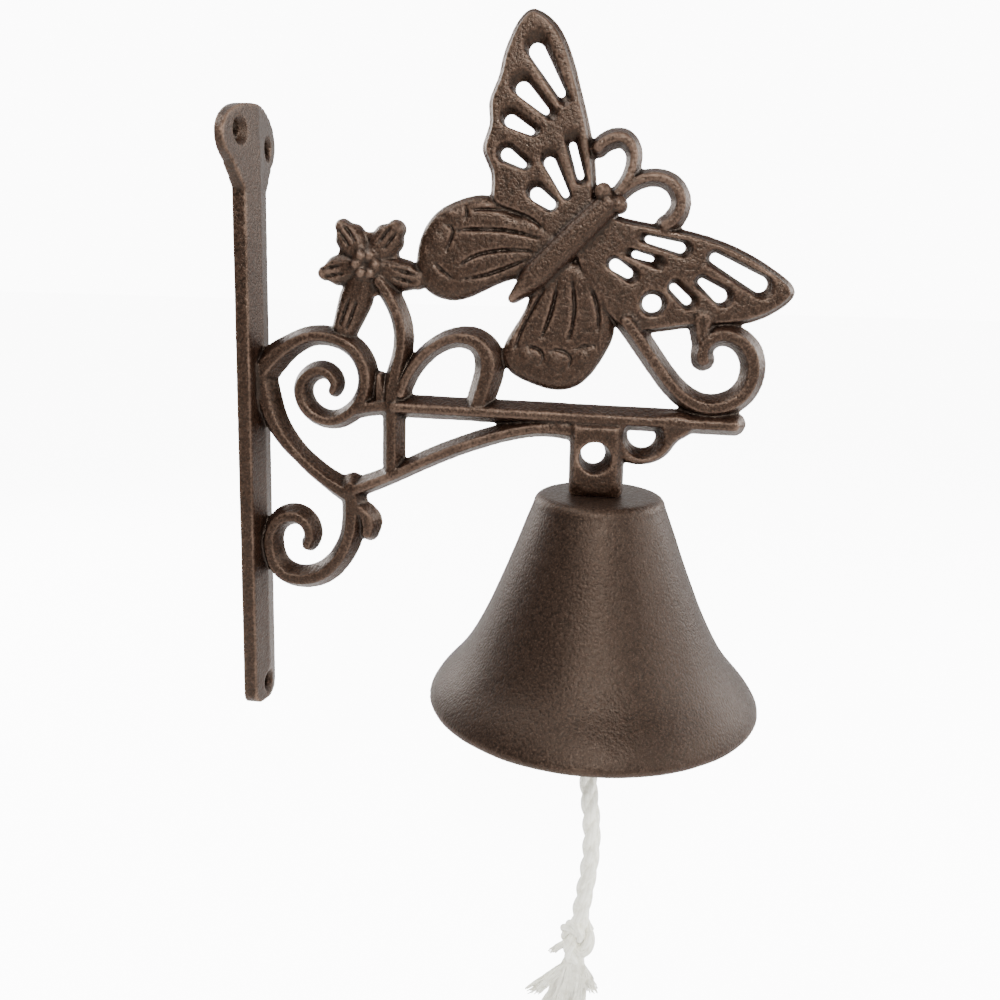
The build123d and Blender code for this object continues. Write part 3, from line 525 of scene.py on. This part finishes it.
def laid_rope_tree():
    tree, given, result = shape_tree("laid_rope", [
        ("Off centre", NUMBER), ("Strand radius", NUMBER), ("Turns per metre", NUMBER),
    ])
    line = add(tree, "GeometryNodeMeshToCurve", {0: given.outputs["Geometry"]}).outputs[0]
    even = add(tree, "GeometryNodeResampleCurve", {"Curve": line, "Length": STRAND_STEP}, mode="LENGTH")
    copies = add(tree, "GeometryNodeDuplicateElements", {
        "Geometry": even.outputs[0], "Amount": STRANDS,
    }, domain="SPLINE")
    along = add(tree, "GeometryNodeSplineParameter").outputs["Length"]
    lines, run = captured(tree, copies.outputs["Geometry"], "run", along)
    share = maths(tree, "DIVIDE", copies.outputs["Duplicate Index"], float(STRANDS))
    turned = maths(tree, "MULTIPLY_ADD", run, given.outputs["Turns per metre"], share)
    angle = maths(tree, "MULTIPLY", turned, FULL_TURN)
    normal = add(tree, "GeometryNodeInputNormal").outputs[0]
    tangent = add(tree, "GeometryNodeInputTangent").outputs[0]
    across = vector_maths(tree, "CROSS_PRODUCT", tangent, normal)
    sideways, forwards = (
        maths(tree, "MULTIPLY", maths(tree, wave, angle), given.outputs["Off centre"])
        for wave in ("COSINE", "SINE")
    )
    offset = vector_maths(tree, "ADD", scaled(tree, normal, sideways), scaled(tree, across, forwards))
    wound = add(tree, "GeometryNodeSetPosition", {"Geometry": lines, "Offset": offset}).outputs[0]
    circle = add(tree, "GeometryNodeCurvePrimitiveCircle", {
        "Resolution": STRAND_SIDES, "Radius": given.outputs["Strand radius"],
    }).outputs[0]
    round_share = add(tree, "GeometryNodeSplineParameter").outputs["Factor"]
    section, round_it = captured(tree, circle, "round", round_share)
    tube = add(tree, "GeometryNodeCurveToMesh", {
        "Curve": wound, "Profile Curve": section, "Fill Caps": True,
    }).outputs[0]
    turn = maths(tree, "MULTIPLY", round_it, FULL_TURN)
    lay = add(tree, "ShaderNodeCombineXYZ", {
        0: maths(tree, "COSINE", turn), 1: maths(tree, "SINE", turn), 2: run,
    }).outputs[0]
    return end_tree(tree, given, result, stored(tree, tube, "lay", lay, "FLOAT_VECTOR"))


LAID_ROPE = laid_rope_tree()


def treed_line(name, points, tree, values):
    """A line of points made solid by a tree."""
    data = bpy.data.meshes.new(name)
    data.from_pydata([tuple(p) for p in points], [(i, i + 1) for i in range(len(points) - 1)], [])
    made = frozen(with_tree(link_object(name + "_live", data), tree, values), name)
    print(name, "faces", len(made.data.polygons))
    return made


def laid_rope(name, points, off_centre, strand_radius, turns):
    """A rope laid along a list of points."""
    return treed_line(name, points, LAID_ROPE, {
        "Off centre": off_centre, "Strand radius": strand_radius, "Turns per metre": turns,
        "Material": ROPE_COTTON,
    })


# %% [markdown]
# ## The rope's route
# The rope comes out of its hitch straight down, bows a little outwards and swings back to its knot. Its line
# is a spline with the route's own points as control points, so it stays smooth however it is looked at.

# %% Route
AXIS_X = 0.120
ROPE_POINTS = [
    (AXIS_X, 0, -0.208), (0.1204, 0, -0.216), (0.1220, 0, -0.228), (0.1224, 0, -0.240), (0.1208, 0, -0.254),
    (0.1186, 0, -0.270),
]
ROPE_WIDTH = 0.006
ROUTE_FINENESS = 24
STRAND_RADIUS = 0.30 * ROPE_WIDTH
STRAND_OFF = 0.54 * ROPE_WIDTH - STRAND_RADIUS
ROPE_TURNS = 42.0


def route_line(points):
    data = bpy.data.curves.new("route", "CURVE")
    data.dimensions, data.resolution_u = "3D", ROUTE_FINENESS
    spline = data.splines.new("NURBS")
    spline.points.add(len(points) - 1)
    for point, at in zip(spline.points, points):
        point.co = (*at, 1)
    spline.order_u, spline.use_endpoint_u = 3, True
    live = link_object("route", data)
    mesh = bpy.data.meshes.new_from_object(live.evaluated_get(bpy.context.evaluated_depsgraph_get()))
    line = [v.co.copy() for v in mesh.vertices]
    bpy.data.objects.remove(live)
    return line


def length_of(line):
    return sum((b - a).length for a, b in zip(line, line[1:]))


rope_line = route_line(ROPE_POINTS)
rope = laid_rope("pull_rope_laid", rope_line, STRAND_OFF, STRAND_RADIUS, ROPE_TURNS)
print("rope length mm", round(length_of(rope_line) / MM, 1))

# %% [markdown]
# ## Knots
# A single overhand knot, pulled tight, is nearly the curve called a trefoil: three lobes that pass over and
# under each other. One turn of the same laid rope along that curve makes a believable knot, and it is
# stretched upright to the size of the knot's solid. The hitch is a smaller one, below a turn of rope through
# the clapper's foot eye.

# %% Knots
KNOT_STEPS, KNOT_DEPTH = 96, 0.6
KNOT_MIDDLE = (0.1186, 0, -0.2742)
KNOT_STRAND = {"off_centre": 1.1 * MM, "strand_radius": 1.15 * MM, "turns": 50.0}
EYE_STRAND = {"off_centre": 1.3 * MM, "strand_radius": 1.3 * MM, "turns": 50.0}
HITCH_KNOT_RISE = 5.4 * MM
EYE_STEPS, EYE_REACH, EYE_DROP = 40, 4.6 * MM, 2.8 * MM


def knot_line(centre, half_width, half_height, turned):
    line = []
    for i in range(KNOT_STEPS + 1):
        t = FULL_TURN * i / KNOT_STEPS
        reach = (2 + math.cos(3 * t)) / 3
        x, y, z = reach * math.cos(2 * t + turned), reach * math.sin(2 * t + turned), math.sin(3 * t)
        line.append(Vector(centre) + Vector((x * half_width, z * half_width * KNOT_DEPTH, y * half_height)))
    return line


def eye_turn(centre, reach):
    """A full circle of rope across the bracket, through an eye."""
    return [
        Vector(centre) + Vector((0, reach * math.sin(a), reach * math.cos(a)))
        for a in (math.pi * (2 * i / EYE_STEPS - 1) for i in range(EYE_STEPS + 1))
    ]


hitch_low, hitch_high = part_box("rope_hitch")
hitch_knot_at = (AXIS_X, 0, hitch_low[2] + HITCH_KNOT_RISE)
eye_at = (AXIS_X, 0, hitch_high[2] - EYE_REACH - EYE_DROP)
knot = laid_rope("rope_knot_tied", knot_line(KNOT_MIDDLE, 4.5 * MM, 7.6 * MM, turned=0.5), **KNOT_STRAND)
hitch = laid_rope("rope_hitch_tied", knot_line(hitch_knot_at, 4.2 * MM, 3.6 * MM, turned=1.2), **KNOT_STRAND)
turn = laid_rope("rope_turn", eye_turn(eye_at, EYE_REACH), **EYE_STRAND)

# %% [markdown]
# ## The frayed end
# Below the knot the rope has come undone into loose lint. One straight line is copied up to a thousand
# times, and the tree bends each copy outwards in its own direction, further the nearer it comes to its end,
# and lets noise curl it. Every random choice has a fixed seed.

# %% Fray tree
THREAD_POINTS, THREAD_SIDES, THREAD_RADIUS = 11, 3, 0.2 * MM
SHORTEST, OPENING_POWER, FLATNESS = 0.62, 0.9, 0.6
CURL_SCALE, CURL_GAIN = 1.8, 4.0


def fray_tree():
    tree, given, result = shape_tree("fray", [
        ("Threads", COUNT), ("Root radius", NUMBER), ("Foot radius", NUMBER), ("Curl", NUMBER),
        ("Seed", COUNT),
    ])
    line = add(tree, "GeometryNodeMeshToCurve", {0: given.outputs["Geometry"]}).outputs[0]
    even = add(tree, "GeometryNodeResampleCurve", {"Curve": line, "Count": THREAD_POINTS}).outputs[0]
    copies = add(tree, "GeometryNodeDuplicateElements", {
        "Geometry": even, "Amount": given.outputs["Threads"],
    }, domain="SPLINE")
    share = add(tree, "GeometryNodeSplineParameter").outputs["Factor"]
    number = copies.outputs["Duplicate Index"]

    def chance(low, high, salt):
        """A random number for each thread, the same on every run."""
        seed = maths(tree, "ADD", given.outputs["Seed"], float(salt))
        node = add(tree, "FunctionNodeRandomValue", {"ID": number, "Seed": seed}, data_type="FLOAT")
        node.inputs[2].default_value, node.inputs[3].default_value = low, high
        return node.outputs[1]

    angle = chance(0, FULL_TURN, 1)
    spread = maths(tree, "SQRT", chance(0.0, 1.0, 2))
    reached = maths(tree, "MULTIPLY", share, chance(SHORTEST, 1.0, 3))
    opening = maths(tree, "POWER", reached, OPENING_POWER)
    root_radius = given.outputs["Root radius"]
    widening = maths(tree, "SUBTRACT", given.outputs["Foot radius"], root_radius)
    reach = maths(tree, "MULTIPLY", spread, maths(tree, "MULTIPLY_ADD", opening, widening, root_radius))
    x = maths(tree, "MULTIPLY", maths(tree, "COSINE", angle), reach)
    y = maths(tree, "MULTIPLY", maths(tree, "MULTIPLY", maths(tree, "SINE", angle), reach), FLATNESS)
    outwards = add(tree, "ShaderNodeCombineXYZ", {0: x, 1: y}).outputs[0]
    own = add(tree, "ShaderNodeCombineXYZ", {0: angle, 1: spread, 2: reached}).outputs[0]
    curl = noise(tree, own, CURL_SCALE, 1.0, result="Color")
    centred = vector_maths(tree, "SUBTRACT", curl, (NOISE_MIDDLE, NOISE_MIDDLE, NOISE_MIDDLE))
    curl_size = maths(tree, "MULTIPLY", maths(tree, "MULTIPLY", given.outputs["Curl"], reached), CURL_GAIN)
    on_line = add(tree, "GeometryNodeSampleCurve", {"Curves": even, "Factor": reached}, mode="FACTOR")
    base = vector_maths(tree, "ADD", on_line.outputs["Position"], outwards)
    there = vector_maths(tree, "ADD", base, scaled(tree, centred, curl_size))
    bent = add(tree, "GeometryNodeSetPosition", {"Geometry": copies.outputs["Geometry"], "Position": there})
    section = add(tree, "GeometryNodeCurvePrimitiveCircle", {
        "Resolution": THREAD_SIDES, "Radius": THREAD_RADIUS,
    }).outputs[0]
    threads = add(tree, "GeometryNodeCurveToMesh", {
        "Curve": bent.outputs[0], "Profile Curve": section, "Fill Caps": True,
    }).outputs[0]
    return end_tree(tree, given, result, threads)


FRAY = fray_tree()


def frayed(name, root, foot, threads, root_mm, foot_mm, curl_mm, seed):
    """A bunch of loose threads from root to foot, as wide as its two radii there."""
    return treed_line(name, [root, foot], FRAY, {
        "Threads": threads, "Root radius": root_mm * MM, "Foot radius": foot_mm * MM,
        "Curl": curl_mm * MM, "Seed": seed, "Material": LINT_COTTON,
    })


tassel = frayed(
    "rope_tassel_lint", (0.1182, 0, -0.2800), (0.1140, 0, -0.3080),
    threads=1100, root_mm=2.8, foot_mm=8.5, curl_mm=3.0, seed=3,
)
left_flap = frayed(
    "rope_left_flap", (0.1170, -0.001, -0.2820), (0.1035, -0.001, -0.2965),
    threads=260, root_mm=1.6, foot_mm=3.0, curl_mm=1.2, seed=5,
)
right_flap = frayed(
    "rope_right_flap", (0.1190, -0.001, -0.2815), (0.1250, -0.001, -0.2935),
    threads=200, root_mm=1.6, foot_mm=2.6, curl_mm=1.2, seed=7,
)
tuft = frayed(
    "rope_tuft", (0.1150, -0.001, -0.2745), (0.1098, -0.002, -0.2790),
    threads=90, root_mm=1.2, foot_mm=1.6, curl_mm=0.8, seed=9,
)

# %% Rope rides on the clapper
for piece, node in (
    (rope, "pull_rope"), (knot, "rope_knot"), (hitch, "rope_hitch"), (tassel, "rope_tassel"),
):
    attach(piece, "clapper_and_rope")
    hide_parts(node)
for piece in (turn, tuft, left_flap, right_flap):
    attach(piece, "clapper_and_rope")

# %% [markdown]
# ## Floor and light
# The photograph is a plain studio shot on white, and the iron is dark in the middle and pale towards its
# edges. That is what a white room does to a dark, slightly glossy thing: its edges mirror the room behind,
# and its front mirrors the dimmer side where the camera stands. So the sky is dimmer in front, one small
# light stands over the camera, and soft ones stand on the right, above and behind. Light Path tells a ray
# from the eye from one that lights the bell, so floor and sky can look white without washing the iron out.
# The floor's underside is clear, because a bell is also looked at from below.

# %% Floor
WHITE, FLOOR_WHITE, FLOOR_ROUGHNESS = (1, 1, 1, 1), (0.9, 0.9, 0.9, 1), 0.9
FLOOR_DROP, FLOOR_HALF = 0.04, 6.0
SEEN_WHITE = 10.0


def floor():
    low = cad_box[0][2] - FLOOR_DROP
    data = bpy.data.meshes.new("floor")
    corners = [(-1, -1), (1, -1), (1, 1), (-1, 1)]
    data.from_pydata([(x * FLOOR_HALF, y * FLOOR_HALF, low) for x, y in corners], [], [(0, 1, 2, 3)])
    made = link_object("floor", data)
    material, tree, surface = new_material("pale_floor")
    seen = add(tree, "ShaderNodeLightPath").outputs["Is Camera Ray"]
    fill(tree, surface, {
        "Base Color": FLOOR_WHITE, "Roughness": FLOOR_ROUGHNESS, "Emission Color": WHITE,
        "Emission Strength": maths(tree, "MULTIPLY", seen, SEEN_WHITE),
    })
    below = add(tree, "ShaderNodeNewGeometry").outputs["Backfacing"]
    clear = add(tree, "ShaderNodeBsdfTransparent").outputs[0]
    one_sided = add(tree, "ShaderNodeMixShader", {0: below, 1: surface.outputs[0], 2: clear}).outputs[0]
    tree.links.new(one_sided, tree.nodes["Material Output"].inputs["Surface"])
    data.materials.append(material)


floor()

# %% Sky
SKY_FRONT, SKY_BACK = 0.14, 1.2
SKY_SPAN = (-0.05, 0.7)


def sky():
    world = bpy.data.worlds.new("studio")
    world.use_nodes = True
    tree = world.node_tree
    direction = add(tree, "ShaderNodeTexCoord").outputs["Generated"]
    depth = add(tree, "ShaderNodeSeparateXYZ", {0: direction}).outputs[1]
    glow = span(tree, depth, *SKY_SPAN, SKY_FRONT, SKY_BACK)
    seen = add(tree, "ShaderNodeLightPath").outputs["Is Camera Ray"]
    fill(tree, tree.nodes["Background"], {
        "Strength": maths(tree, "MULTIPLY_ADD", seen, SEEN_WHITE, glow), "Color": WHITE,
    })
    bpy.context.scene.world = world


sky()

# %% Lights
LIGHTS_AIM = Vector((0.09, 0, -0.1))


def soft_light(name, at, side, watts):
    data = bpy.data.lights.new(name, "AREA")
    data.shape, data.size, data.energy = "SQUARE", side, watts
    light = link_object(name, data)
    light.location = at
    light.rotation_euler = (LIGHTS_AIM - Vector(at)).to_track_quat("-Z", "Y").to_euler()


soft_light("front_light", (0.20, -0.84, 0.42), side=0.13, watts=14)
soft_light("right_light", (1.1, -0.30, 0.2), side=0.4, watts=9)
soft_light("top_light", (-0.45, -0.2, 0.8), side=0.35, watts=9)
soft_light("back_light_left", (-0.7, 0.5, 0.2), side=0.6, watts=10)
soft_light("back_light_right", (0.95, 0.45, 0.2), side=0.6, watts=10)
